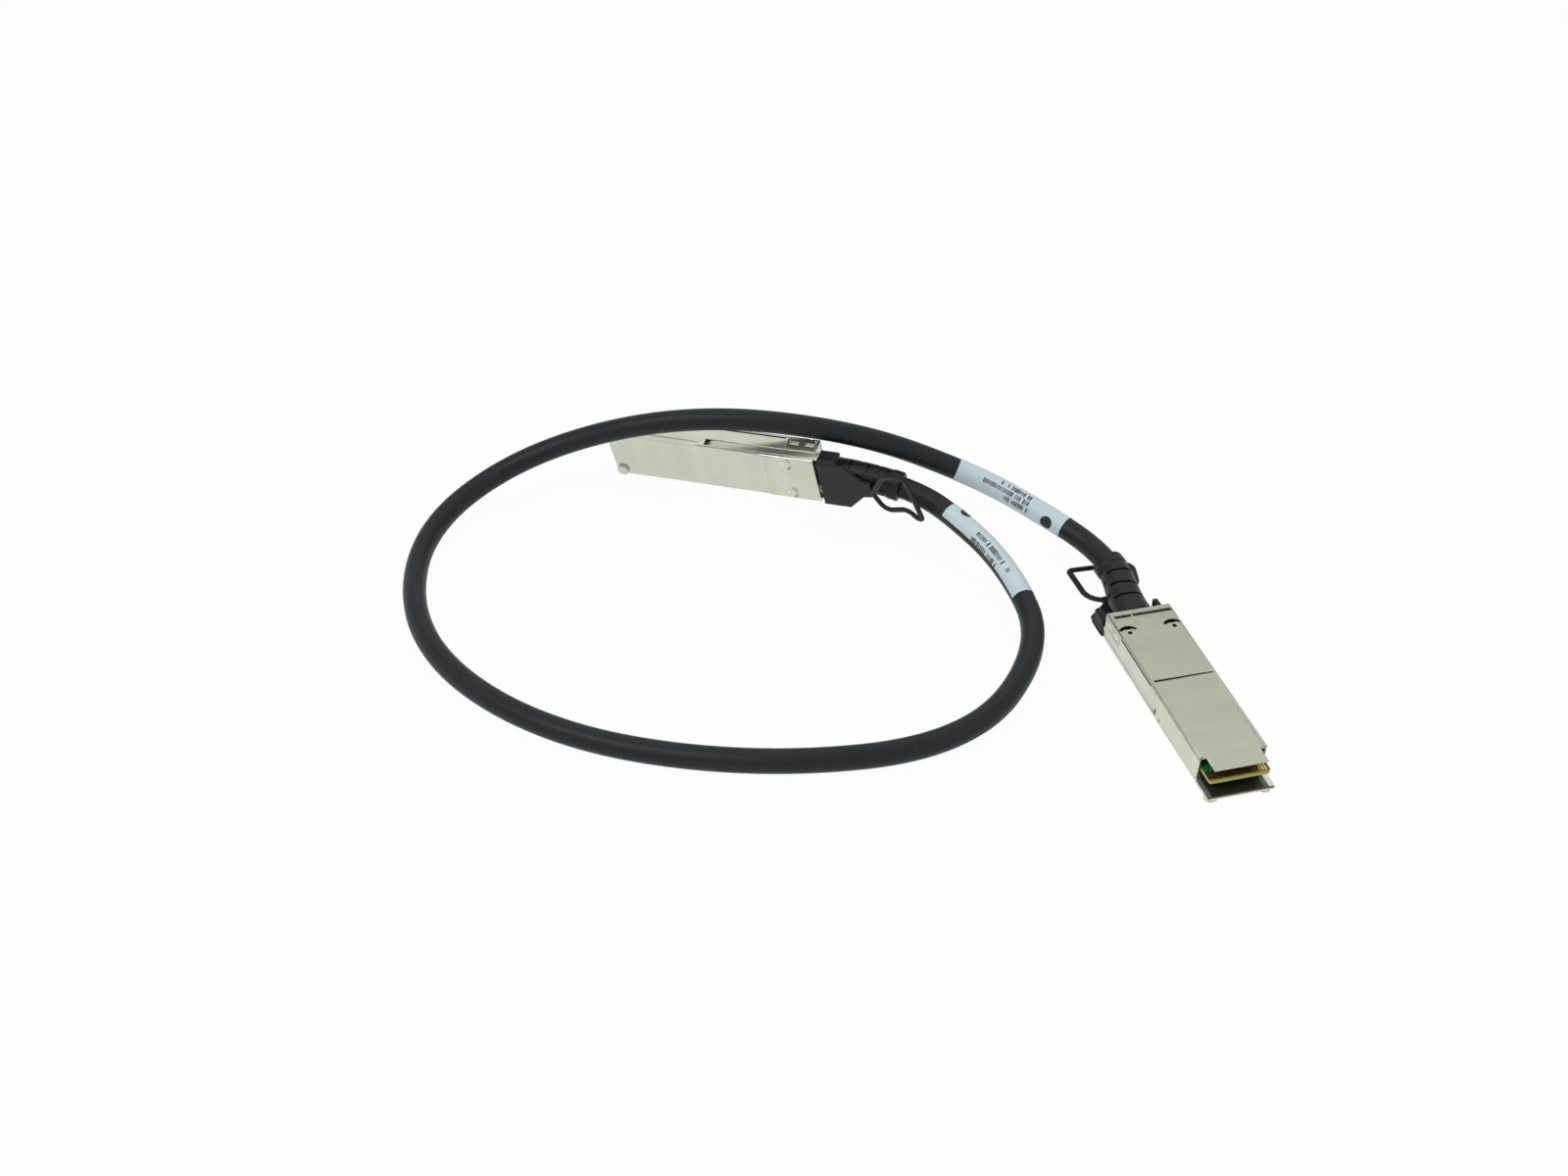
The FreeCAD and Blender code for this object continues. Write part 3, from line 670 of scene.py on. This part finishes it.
# a CAD node's copy with eased edges, and its eased faces marked for a painted highlight
easing = {
    "mergeDistance": 0.000002,
    "flatAngle": 0.4,
    "sharpAngle": 34.0,
    "shortest": 0.8,
    "segments": 2,
    "profile": 0.5,
    "bossRamp": 0.14,
    "tabWidth": 0.16,
}


def rampBosses(work, side):
    # the upper edge of each boss is sunk, so that it is a snap ramp
    toPlug = plugMatrix(side).inverted()
    sideways = plugMatrix(side).to_3x3() @ Vector((0, 1, 0))
    for vert in work.verts:
        x, y, z = toPlug @ vert.co / mm
        for alongRange, sideRange, heightRange, _ in bosses:
            upper = sum(heightRange) / 2 < z < heightRange[1]
            if upper and alongRange[0] < x < alongRange[1] and abs(y) > sideRange[0]:
                vert.co -= sideways * math.copysign(easing["bossRamp"] * mm, y)


def weld(work):
    bmesh.ops.remove_doubles(work, verts=work.verts, dist=easing["mergeDistance"])


def weldedMesh(work, name):
    weld(work)
    return meshFrom(work, name)


def mergedCopy(node):
    work = bmesh.new()
    work.from_mesh(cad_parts[node].data)
    work.transform(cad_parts[node].matrix_world)
    weld(work)
    return work


def isSharp(edge):
    return (edge.is_manifold and edge.calc_length() > easing["shortest"] * mm
            and edge.calc_face_angle() > math.radians(easing["sharpAngle"]))


def easedCopy(node, name, width, side=None):
    work = mergedCopy(node)
    if side and node.endswith("top_cover"):
        blank = bpy.data.meshes.new(name)
        work.to_mesh(blank)
        work.clear()
        work.from_mesh(cutAway(blank, pressCutters(side)))
        weld(work)
    bmesh.ops.dissolve_limit(work, angle_limit=math.radians(easing["flatAngle"]),
                             verts=work.verts, edges=work.edges)
    if side and node.endswith("lower_shell"):
        rampBosses(work, side)
    sharp = [edge for edge in work.edges if isSharp(edge)]
    highlighted = work.faces.layers.float.new("edgeWear")
    eased = bmesh.ops.bevel(work, geom=sharp, offset=width * mm, offset_type="OFFSET",
                            segments=easing["segments"], profile=easing["profile"],
                            affect="EDGES", clamp_overlap=False)
    # eased faces are marked for the painted edge highlight
    for face in eased["faces"]:
        face[highlighted] = 1.0
    mesh = weldedMesh(work, name)
    smoothFaces(mesh, shading["eased"])
    holder = addObject(name + "_shading", mesh)
    weighted = holder.modifiers.new("weighted", "WEIGHTED_NORMAL")
    weighted.keep_sharp = True
    weighted.weight = shading["weight"]
    shaded = plainMesh(holder)
    bpy.data.objects.remove(holder)
    shaded.name = name
    return shaded


# boot: rounded sections square to the cord, in mm from its front face
boot = {
    "front": 2.4,
    "frontStep": 0.01,
    "length": 27.2,
    "flange": (11.6, 5.8, 1.2),
    "neck": (10.0, 5.0, 1.2),
    "base": (10.3, 7.7, 3.6),
    "end": (8.8, 7.7, 3.8),
    "collar": (9.2, 8.3, 4.1),
    "flangeEnd": 1.0,
    "neckStart": 1.15,
    "collarLength": 3.6,
    "collarRise": 0.3,
    "endRound": 0.48,
    "leastCorner": 0.2,
    "slots": (9.2, 14.4, 19.8),
    "slotShift": 2.6,
    "slotWidth": 0.8,
    "slotDepth": 0.5,
    "slotOut": 1.0,
    "broadArc": (3, 12),
    "narrowArc": (13, 18),
    "clearance": 0.05,
    "boreDepth": 5.0,
    "cornerSteps": 7,
    "station": 0.25,
}


def mixSizes(first, last, share):
    return tuple(a + (b - a) * share for a, b in zip(first, last))


def bootSize(distance):
    bodyEnd = boot["length"] - boot["collarLength"]
    if distance <= boot["flangeEnd"]:
        return boot["flange"]
    if distance < boot["front"]:
        return boot["neck"]
    share = min((distance - boot["front"]) / (bodyEnd - boot["front"]), 1.0)
    size = mixSizes(boot["base"], boot["end"], share)
    rise = min(max((distance - bodyEnd) / boot["collarRise"], 0.0), 1.0)
    width, height, corner = mixSizes(size, boot["collar"], rise * rise * (3 - 2 * rise))
    shrink = 0.0
    ease = boot["endRound"]
    for fromEnd in (distance - boot["front"], boot["length"] - distance):
        if fromEnd < ease:
            shrink = max(shrink, ease - math.sqrt(max(ease * ease - (ease - fromEnd) ** 2, 0.0)))
    return width - 2 * shrink, height - 2 * shrink, max(corner - shrink, boot["leastCorner"])


def bootFrame(side, distance):
    lead = boot["front"] + cord["setback"]
    centre, along = alongLine((distance - lead) * mm, side == "far")
    across = plugMatrix(side).to_3x3() @ Vector((0, -1, 0))
    up = along.cross(across).normalized()
    return centre, up.cross(along), up


def bootRing(side, distance, size):
    centre, across, up = bootFrame(side, distance)
    width, height, corner = size
    ring = []
    for quarter, (sy, sz) in enumerate(((1, 1), (-1, 1), (-1, -1), (1, -1))):
        for step in range(boot["cornerSteps"] + 1):
            angle = math.pi / 2 * (quarter + step / boot["cornerSteps"])
            y = sy * (width / 2 - corner) + corner * math.cos(angle)
            z = sz * (height / 2 - corner) + corner * math.sin(angle)
            ring.append(centre + (across * y + up * z) * mm)
    return ring


def bootMesh(side):
    front, length = boot["front"], boot["length"]
    count = int((length - front) / boot["station"])
    stations = [0.0, boot["flangeEnd"], boot["neckStart"], front - boot["frontStep"]]
    stations += [front + (length - front) * step / count for step in range(count + 1)]
    rings = [bootRing(side, distance, bootSize(distance)) for distance in stations]
    bore = cord["diameter"] + 2 * boot["clearance"]
    for depth in (0.0, boot["boreDepth"]):
        rings.append(bootRing(side, length - depth, (bore, bore, bore / 2)))
    work = bmesh.new()
    addSections(work, rings)
    weld(work)
    blank = outwardMesh(work, f"{side}_boot_blank")
    work = bmesh.new()
    work.from_mesh(cutAway(blank, slotCutters(side)))
    mesh = weldedMesh(work, f"{side}_boot")
    smoothFaces(mesh, shading["round"])
    return mesh


def slotCutters(side):
    # flex slots over the broad faces, and between them over the narrow ones
    work = bmesh.new()
    ringCount = 4 * (boot["cornerSteps"] + 1)
    deep, out, half = -boot["slotDepth"], boot["slotOut"], boot["slotWidth"] / 2
    for broadAt in boot["slots"]:
        narrowAt = broadAt + boot["slotShift"]
        for distance, arc in ((broadAt, boot["broadArc"]), (narrowAt, boot["narrowArc"])):
            rims = []
            for shift, grow in ((-half, out), (-half, deep), (half, deep), (half, out)):
                width, height, corner = bootSize(distance + shift)
                size = (width + 2 * grow, height + 2 * grow, corner + grow)
                rims.append(bootRing(side, distance + shift, size))
            for start in (0, ringCount // 2):
                picks = [(step + start) % ringCount for step in range(arc[0], arc[1] + 1)]
                addSections(work, [[rim[pick] for rim in rims] for pick in picks])
    return outwardMesh(work, f"{side}_boot_slots")


# labels in mm along the cord and round it, turns in degrees: rows of plain bars, given by start,
# end and level, and one round spot
labels = {
    "near": {"start": 41.4, "length": 37.0, "turn": 30.0, "width": 20.3, "seed": 3,
             "rows": ((11.8, 24.0, 2.0), (12.3, 29.2, 0.1), (11.9, 20.4, -1.8)), "rowTurn": -47.0,
             "spot": (4.9, 1.9), "spotTurn": -80.0},
    "far": {"start": 40.8, "length": 38.0, "turn": 66.0, "width": 16.0, "seed": 8,
            "rows": ((8.4, 25.9, 1.2), (13.2, 26.3, -1.1)), "rowTurn": -44.0,
            "spot": (33.2, 1.8), "spotTurn": 30.0},
}
film = {"bottom": 0.01, "thickness": 0.09, "ink": 0.03, "cells": 48, "spotCells": 12}
bars = {"pitch": 0.72, "height": 1.55, "kept": 0.84, "widths": (0.5, 0.9), "heights": (0.75, 1.0),
        "cells": 4}


def finishTree(tree, geometry, material, result):
    whole = addNode(tree, "GeometryNodeRealizeInstances", None, {"Geometry": geometry})
    painted = addNode(tree, "GeometryNodeSetMaterial", None,
                      {"Geometry": whole.outputs["Geometry"], "Material": material})
    tree.links.new(painted.outputs["Geometry"], result["Geometry"])
    return tree


def wrapTree():
    # flat art is laid round the jacket, from a start along the cord
    tree, given, result = newGroup(
        "wrapRoundCord", "GeometryNodeTree",
        (("Geometry", "Geometry"), ("Line", "Object"), ("Start", "Float"), ("Radius", "Float"),
         ("Turn", "Float"), ("Material", "Material")),
        (("Geometry", "Geometry"),),
    )
    line = addNode(tree, "GeometryNodeObjectInfo", None, {"Object": given["Line"]})
    curve = addNode(tree, "GeometryNodeMeshToCurve", None, {"Mesh": line.outputs["Geometry"]})
    position = addNode(tree, "GeometryNodeInputPosition").outputs["Position"]
    flat = addNode(tree, "ShaderNodeSeparateXYZ", None, {"Vector": position}).outputs
    sample = addNode(tree, "GeometryNodeSampleCurve", {"mode": "LENGTH"},
                     {"Curves": curve.outputs["Curve"],
                      "Length": calculate(tree, "ADD", flat["X"], given["Start"])}).outputs

    def vector(operation, first, second=None):
        inputs = {0: first}
        if second is not None:
            inputs["Scale" if operation == "SCALE" else 1] = second
        node = addNode(tree, "ShaderNodeVectorMath", {"operation": operation}, inputs)
        return node.outputs["Vector"]

    level = vector("CROSS_PRODUCT", sample["Tangent"], (0.0, 0.0, 1.0))
    across = vector("NORMALIZE", level)
    up = vector("CROSS_PRODUCT", across, sample["Tangent"])
    bend = calculate(tree, "DIVIDE", flat["Y"], given["Radius"])
    angle = calculate(tree, "ADD", bend, given["Turn"])
    reach = calculate(tree, "ADD", flat["Z"], given["Radius"])
    sideReach = calculate(tree, "MULTIPLY", reach, calculate(tree, "SINE", angle))
    upReach = calculate(tree, "MULTIPLY", reach, calculate(tree, "COSINE", angle))
    offset = vector("ADD", vector("SCALE", across, sideReach), vector("SCALE", up, upReach))
    place = vector("ADD", sample["Position"], offset)
    laid = addNode(tree, "GeometryNodeSetPosition", None,
                   {"Geometry": given["Geometry"], "Position": place})
    outward = addNode(tree, "GeometryNodeFlipFaces", None, {"Mesh": laid.outputs["Geometry"]})
    return finishTree(tree, outward.outputs["Mesh"], given["Material"], result)


def randomFloat(tree, limits, seed):
    # sockets 2, 3 and 1 are those for single values, 8 is the seed
    node = addNode(tree, "FunctionNodeRandomValue", {"data_type": "FLOAT"},
                   {2: limits[0], 3: limits[1], 8: seed})
    return node.outputs[1]


def barTree():
    tree, given, result = newGroup(
        "barRow", "GeometryNodeTree",
        (("Geometry", "Geometry"), ("Count", "Int"), ("Pitch", "Float"), ("Row Start", "Vector"),
         ("Bar Height", "Float"), ("Bar Thickness", "Float"), ("Seed", "Int"),
         ("Material", "Material")),
        (("Geometry", "Geometry"),),
    )
    step = addNode(tree, "ShaderNodeCombineXYZ", None, {"X": given["Pitch"]})
    line = addNode(tree, "GeometryNodeMeshLine", {"mode": "OFFSET"},
                   {"Count": given["Count"], "Start Location": given["Row Start"],
                    "Offset": step.outputs[0]})
    keep = addNode(tree, "FunctionNodeRandomValue", {"data_type": "BOOLEAN"},
                   {6: bars["kept"], 8: given["Seed"]})
    wide = randomFloat(tree, bars["widths"], given["Seed"])
    tall = randomFloat(tree, bars["heights"], given["Seed"])
    size = addNode(tree, "ShaderNodeCombineXYZ", None,
                   {"X": calculate(tree, "MULTIPLY", wide, given["Pitch"]),
                    "Y": calculate(tree, "MULTIPLY", tall, given["Bar Height"]),
                    "Z": given["Bar Thickness"]})
    bar = addNode(tree, "GeometryNodeMeshCube", None,
                  {"Vertices X": bars["cells"], "Vertices Y": bars["cells"]})
    row = addNode(tree, "GeometryNodeInstanceOnPoints", None,
                  {"Points": line.outputs["Mesh"], "Selection": keep.outputs[3],
                   "Instance": bar.outputs["Mesh"], "Scale": size.outputs[0]})
    return finishTree(tree, row.outputs["Instances"], given["Material"], result)


wrapRoundCord = wrapTree()
barRow = barTree()


def addTree(holder, tree, values):
    modifier = holder.modifiers.new(tree.name, "NODES")
    modifier.node_group = tree
    for item in tree.interface.items_tree:
        if item.in_out == "INPUT" and item.name in values:
            modifier[item.identifier] = values[item.name]


def labelStart(side):
    label = labels[side]
    if side == "near":
        return label["start"] * mm
    return lineLength - (label["start"] + label["length"]) * mm


def wrapped(flat, side, turn, material, row=None):
    holder = addObject(flat.name, flat)
    if row:
        addTree(holder, barRow, row)
    addTree(holder, wrapRoundCord,
            {"Line": routeLine, "Start": labelStart(side), "Turn": math.radians(turn),
             "Radius": cord["diameter"] / 2 * mm, "Material": material})
    mesh = plainMesh(holder)
    bpy.data.objects.remove(holder)
    return mesh


def flatPiece(name, cells, place, thickness):
    # closed flat sheet whose upper face is placed by two shares from 0 to 1
    work = bmesh.new()
    shares = [step / cells for step in range(cells + 1)]
    layers = []
    for drop in (Vector((0, 0, 0)), Vector((0, 0, thickness))):
        layers.append([[work.verts.new((Vector(place(u, v)) - drop) * mm) for v in shares]
                       for u in shares])
    high, low = layers
    for i in range(cells):
        for j in range(cells):
            work.faces.new((high[i][j], high[i + 1][j], high[i + 1][j + 1], high[i][j + 1]))
            work.faces.new((low[i][j], low[i][j + 1], low[i + 1][j + 1], low[i + 1][j]))
    for i in range(cells):
        work.faces.new((low[i][0], low[i + 1][0], high[i + 1][0], high[i][0]))
        work.faces.new((low[i][-1], high[i][-1], high[i + 1][-1], low[i + 1][-1]))
    for j in range(cells):
        work.faces.new((low[0][j], high[0][j], high[0][j + 1], low[0][j + 1]))
        work.faces.new((low[-1][j], low[-1][j + 1], high[-1][j + 1], high[-1][j]))
    return meshFrom(work, name)


def addFilm(side):
    label = labels[side]
    top = film["bottom"] + film["thickness"]

    def place(u, v):
        return label["length"] * u, label["width"] * (v - 0.5), top

    flat = flatPiece(f"{side}_label_flat", film["cells"], place, film["thickness"])
    mesh = wrapped(flat, side, label["turn"], finishes["film"])
    smoothFaces(mesh, shading["round"])
    return addPiece(f"{side}_label_wrap", mesh, None, "cable_body", [f"{side}_label"])


def addPrint(side):
    label = labels[side]
    top = film["bottom"] + film["thickness"]
    work = bmesh.new()
    for number, (start, end, level) in enumerate(label["rows"]):
        row = {"Count": round((end - start) / bars["pitch"]), "Pitch": bars["pitch"] * mm,
               "Row Start": Vector((start, level, top)) * mm, "Bar Height": bars["height"] * mm,
               "Bar Thickness": film["ink"] * mm, "Seed": label["seed"] + number,
               "Material": finishes["ink"]}
        blank = bpy.data.meshes.new(f"{side}_print_row")
        work.from_mesh(wrapped(blank, side, label["rowTurn"], finishes["ink"], row))
    mesh = meshFrom(work, f"{side}_label_print")
    return addPiece(f"{side}_label_print", mesh, finishes["ink"], "cable_body", None)


def addSpot(side):
    label = labels[side]
    middle, radius = label["spot"]
    top = film["bottom"] + film["thickness"] + film["ink"] / 2

    def place(u, v):
        # a square grid drawn into a round outline
        x, y = 2 * u - 1, 2 * v - 1
        along = middle + radius * x * math.sqrt(1 - y * y / 2)
        return along, radius * y * math.sqrt(1 - x * x / 2), top

    flat = flatPiece(f"{side}_spot_flat", film["spotCells"], place, film["ink"])
    mesh = wrapped(flat, side, label["spotTurn"], finishes["spot"])
    smoothFaces(mesh, shading["round"])
    return addPiece(f"{side}_label_spot", mesh, None, "cable_body", None)


def addCord():
    cable.data.materials.append(finishes["jacket"])
    finishPiece(cable, "cable_body", ["cable"])
    pieces = [add(side) for side in labels for add in (addFilm, addPrint, addSpot)]


addCord()
print("cord and labels laid")

# plug pieces: CAD node, width of eased edges in mm, finish, slot
easedPieces = (
    ("lower_shell", 0.1, "Shell", "plated_shell"),
    ("top_cover", 0.1, "Cover", "plated_cover"),
    ("latch_arms", 0.08, "Latch", "latch_steel"),
)
keptNodes = (
    ("card_contacts", "gold"),
    ("memory_chip", "chip"),
    ("card_passives", "ceramic"),
    ("wire_pairs", "foil"),
    ("crimp_ferrule", "ferrule"),
)


def paintNode(node, material):
    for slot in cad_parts[node].material_slots:
        slot.material = material


def addSprings(side):
    node = f"{side}_return_springs"
    mesh = weldedMesh(mergedCopy(node), f"{node}_coils")
    smoothFaces(mesh, shading["round"])
    coils = addPiece(f"{node}_coils", mesh, finishes["spring"], "cable_body",
                     [node])
    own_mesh(coils)


def addPlug(side):
    for piece, width, finish, slot in easedPieces:
        node = f"{side}_{piece}"
        body = f"{side}_latch" if piece == "latch_arms" else "cable_body"
        mesh = easedCopy(node, f"{node}_plated", width, side)
        addPiece(f"{node}_plated", mesh, finishes[side + finish], body, [node])
    tab = f"{side}_pull_tab"
    mesh = easedCopy(tab, f"{tab}_moulded", easing["tabWidth"])
    addPiece(f"{tab}_moulded", mesh, finishes["tab"], f"{side}_latch", [tab])
    relief = f"{side}_strain_relief"
    addPiece(f"{relief}_moulded", bootMesh(side), finishes["boot"], "cable_body",
             [relief])
    addSprings(side)
    paintNode(f"{side}_paddle_card", finishes[f"{side}Card"])
    for piece, finish in keptNodes:
        paintNode(f"{side}_{piece}", finishes[finish])


for side in plugs:
    addPlug(side)
    print(side, "plug finished")
bpy.data.objects.remove(routeLine)

# stage: white paper and a white room that is dimmer overhead, where the metal mirrors it
stage = {
    "floorSize": 4.0,
    "floorDrop": 0.0001,
    "floorColour": (0.9, 0.9, 0.9, 1.0),
    "floorRough": 0.9,
    "floorGloss": 0.1,
    "floorWhite": 0.95,
    "backgroundWhite": 1.0,
    "worldLight": 0.36,
    "heights": (0.1, 1.0),
    "room": (0.8, 0.44),
}


def addFloor():
    half = stage["floorSize"] / 2
    corners = [(-half, -half, 0), (half, -half, 0), (half, half, 0), (-half, half, 0)]
    mesh = bpy.data.meshes.new("floor")
    mesh.from_pydata(corners, [], [(0, 1, 2, 3)])
    floor = addObject("floor", mesh)
    floor.location.z = -stage["floorDrop"]
    material = bpy.data.materials.new("floor_paper")
    material.use_nodes = True
    tree = material.node_tree
    shader = tree.nodes["Principled BSDF"]
    shader.inputs["Base Color"].default_value = stage["floorColour"]
    shader.inputs["Roughness"].default_value = stage["floorRough"]
    shader.inputs["Specular IOR Level"].default_value = stage["floorGloss"]
    white = addNode(tree, "ShaderNodeEmission", None, {"Strength": stage["backgroundWhite"]})
    paths = addNode(tree, "ShaderNodeLightPath").outputs
    mirrored = calculate(tree, "MAXIMUM", paths["Is Glossy Ray"], paths["Is Transmission Ray"])
    seen = calculate(tree, "MAXIMUM", paths["Is Camera Ray"], mirrored)
    share = calculate(tree, "MULTIPLY", seen, stage["floorWhite"])
    mix = addNode(tree, "ShaderNodeMixShader", None,
                  {0: share, 1: shader.outputs[0], 2: white.outputs[0]})
    tree.links.new(mix.outputs[0], tree.nodes["Material Output"].inputs["Surface"])
    mesh.materials.append(material)


def addWorld():
    world = bpy.data.worlds.new("studio")
    bpy.context.scene.world = world
    world.use_nodes = True
    tree = world.node_tree
    tree.nodes.clear()
    paths = addNode(tree, "ShaderNodeLightPath").outputs
    mirrored = calculate(tree, "MAXIMUM", paths["Is Glossy Ray"], paths["Is Transmission Ray"])
    direction = addNode(tree, "ShaderNodeTexCoord").outputs["Generated"]
    height = addNode(tree, "ShaderNodeSeparateXYZ", None, {"Vector": direction}).outputs["Z"]
    room = mapped(tree, height, stage["heights"], stage["room"], True)
    inMetal = calculate(tree, "MULTIPLY", mirrored, room)
    seen = calculate(tree, "MAXIMUM", paths["Is Camera Ray"], mirrored)
    unseen = calculate(tree, "MULTIPLY_ADD", seen, -stage["worldLight"], stage["worldLight"])
    onCamera = calculate(tree, "MULTIPLY", paths["Is Camera Ray"], stage["backgroundWhite"])
    strength = calculate(tree, "ADD", unseen, calculate(tree, "ADD", onCamera, inMetal))
    background = addNode(tree, "ShaderNodeBackground", None,
                         {"Color": (1.0, 1.0, 1.0, 1.0), "Strength": strength})
    output = tree.nodes.new("ShaderNodeOutputWorld")
    tree.links.new(background.outputs[0], output.inputs["Surface"])


lamps = (
    {"name": "key", "place": (-0.5, -0.35, 0.9), "aim": (-0.02, 0.0, 0.0), "size": 0.6,
     "power": 4.2},
    {"name": "fill", "place": (0.7, -0.3, 0.7), "aim": (0.0, 0.0, 0.0), "size": 0.9, "power": 1.4},
    {"name": "top", "place": (0.0, 0.5, 1.0), "aim": (0.0, 0.0, 0.0), "size": 1.0, "power": 2.2},
)


def addLamp(lamp):
    data = bpy.data.lights.new(lamp["name"], "AREA")
    data.size = lamp["size"]
    data.energy = lamp["power"]
    light = addObject(lamp["name"], data)
    light.location = lamp["place"]
    direction = Vector(lamp["aim"]) - Vector(lamp["place"])
    light.rotation_euler = direction.to_track_quat("-Z", "Y").to_euler()


addFloor()
addWorld()
for lamp in lamps:
    addLamp(lamp)
bpy.context.scene.view_settings.view_transform = "Standard"
print("stage set")
